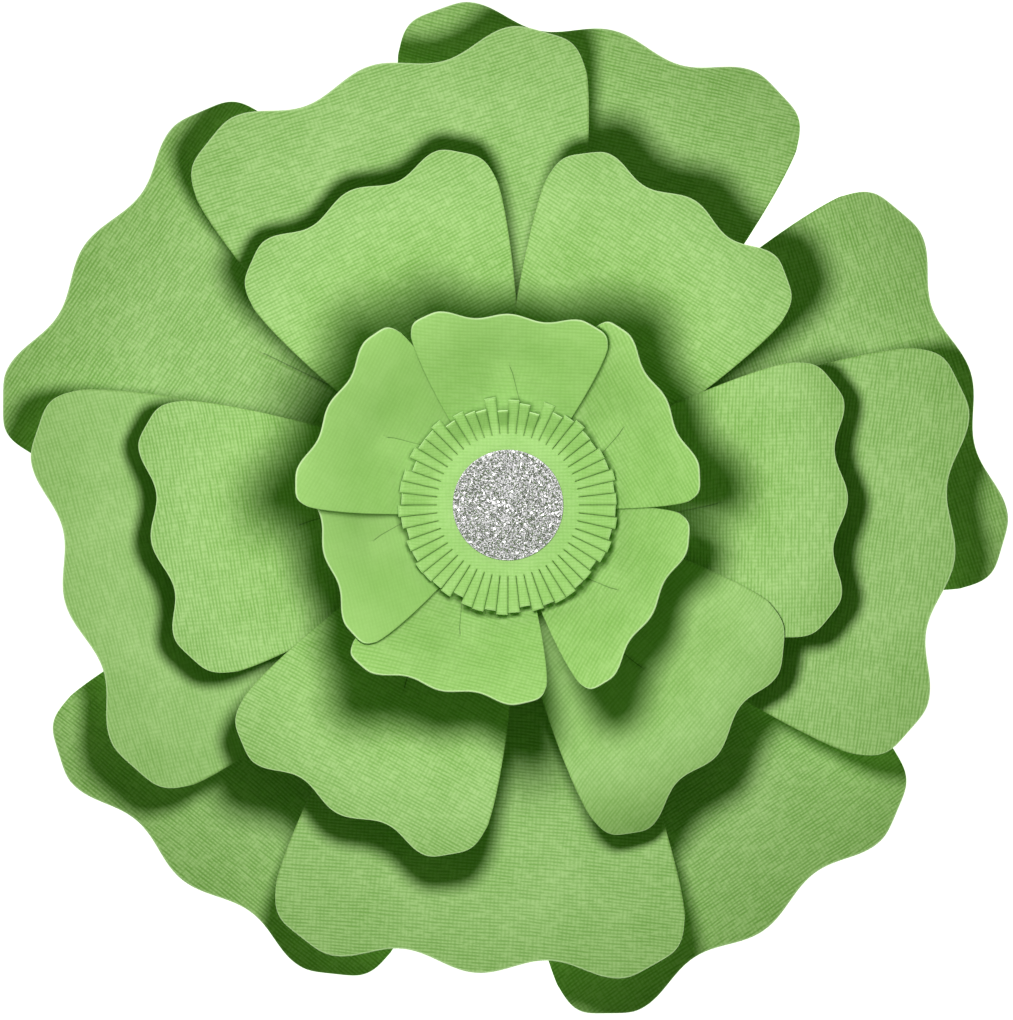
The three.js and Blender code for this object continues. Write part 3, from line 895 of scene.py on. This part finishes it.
class PAPERFLOWER_OT_backing(bpy.types.Operator):
    """Give the round backing board its plain uncoated finish"""

    bl_idname = "paper_flower.backing"
    bl_label = "Backing board"

    def execute(self, context):
        wear(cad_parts["backing_disc"], board_material(settings_of(context)))
        return {"FINISHED"}


class PAPERFLOWER_OT_petals(bpy.types.Operator):
    """Cut, cup and emboss all the petals of one row"""

    bl_idname = "paper_flower.petals"
    bl_label = "Row of petals"

    row: bpy.props.EnumProperty(
        name="Row",
        description="Which row of petals to make",
        items=[(row, row.capitalize(), "") for row in ROWS],
    )

    def execute(self, context):
        settings = settings_of(context)
        material = shared_material("green_linen_card", card_material, settings)
        tree = bpy.data.node_groups.get("Petal") or petal_tree(material)
        for node, petal in PETALS.items():
            if node.startswith(self.row):
                piece = piece_from_tree(node + "_card", tree, petal_sizes(settings, self.row, petal))
                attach(piece, BODY)
                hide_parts(node)
        return {"FINISHED"}


class PAPERFLOWER_OT_fringe(bpy.types.Operator):
    """Cut the fringed disc and bend its strips up"""

    bl_idname = "paper_flower.fringe"
    bl_label = "Fringed disc"

    def execute(self, context):
        settings = settings_of(context)
        material = shared_material("green_linen_card", card_material, settings)
        sizes = {key: float(getattr(settings, key)) for key in FRINGE_INPUTS}
        tree = fringe_tree(material, settings.fringe_strips * STRIP_COLUMNS)
        piece = piece_from_tree("fringed_disc_card", tree, sizes)
        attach(piece, BODY)
        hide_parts("fringed_disc")
        return {"FINISHED"}


class PAPERFLOWER_OT_glitter(bpy.types.Operator):
    """Cover the middle disc with silver glitter"""

    bl_idname = "paper_flower.glitter"
    bl_label = "Glitter disc"

    def execute(self, context):
        settings = settings_of(context)
        wear(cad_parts["glitter_disc"], glitter_bed_material(settings))
        low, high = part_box("glitter_disc")
        tree = glitter_tree(flake_material(settings), high.z, high.x - settings.flake_size)
        piece = piece_from_tree("glitter_flakes", tree, {"flake_size": settings.flake_size})
        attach(piece, BODY)
        return {"FINISHED"}


class PAPERFLOWER_OT_stage(bpy.types.Operator):
    """Set up the pale floor, the soft light and the camera"""

    bl_idname = "paper_flower.stage"
    bl_label = "Stage"

    def execute(self, context):
        make_floor()
        make_sky()
        make_light("key", KEY_PLACE, KEY_RADIUS, KEY_POWER)
        make_camera()
        context.scene.view_settings.view_transform = "Standard"
        return {"FINISHED"}


class PAPERFLOWER_PT_panel(bpy.types.Panel):
    """The flower's pieces, sizes and colours"""

    bl_idname = "PAPERFLOWER_PT_panel"
    bl_label = "Giant Paper Flower"
    bl_space_type = "VIEW_3D"
    bl_region_type = "UI"
    bl_category = "Paper Flower"

    def draw(self, context):
        settings = settings_of(context)
        box = self.layout.box()
        for name in PAPERFLOWER_PG_settings.__annotations__:
            if name not in ROWS:
                box.prop(settings, name)
        for row in ROWS:
            box = self.layout.box()
            box.operator("paper_flower.petals", text=f"{row.capitalize()} row").row = row
            for name in ROWS[row]:
                box.prop(getattr(settings, row), name)
        for name in ("backing", "fringe", "glitter", "stage"):
            self.layout.operator(f"paper_flower.{name}")


CLASSES = (
    *ROW_CLASSES.values(),
    PAPERFLOWER_PG_settings,
    PAPERFLOWER_OT_backing,
    PAPERFLOWER_OT_petals,
    PAPERFLOWER_OT_fringe,
    PAPERFLOWER_OT_glitter,
    PAPERFLOWER_OT_stage,
    PAPERFLOWER_PT_panel,
)


def register():
    for cls in CLASSES:
        bpy.utils.register_class(cls)
    bpy.types.Scene.paper_flower = bpy.props.PointerProperty(type=PAPERFLOWER_PG_settings)


def unregister():
    del bpy.types.Scene.paper_flower
    for cls in reversed(CLASSES):
        bpy.utils.unregister_class(cls)


def main():
    """Builds the whole flower and its stage."""
    register()
    bpy.ops.paper_flower.backing()
    for row in ROWS:
        bpy.ops.paper_flower.petals(row=row)
    bpy.ops.paper_flower.fringe()
    bpy.ops.paper_flower.glitter()
    bpy.ops.paper_flower.stage()


if __name__ == "__main__":
    main()
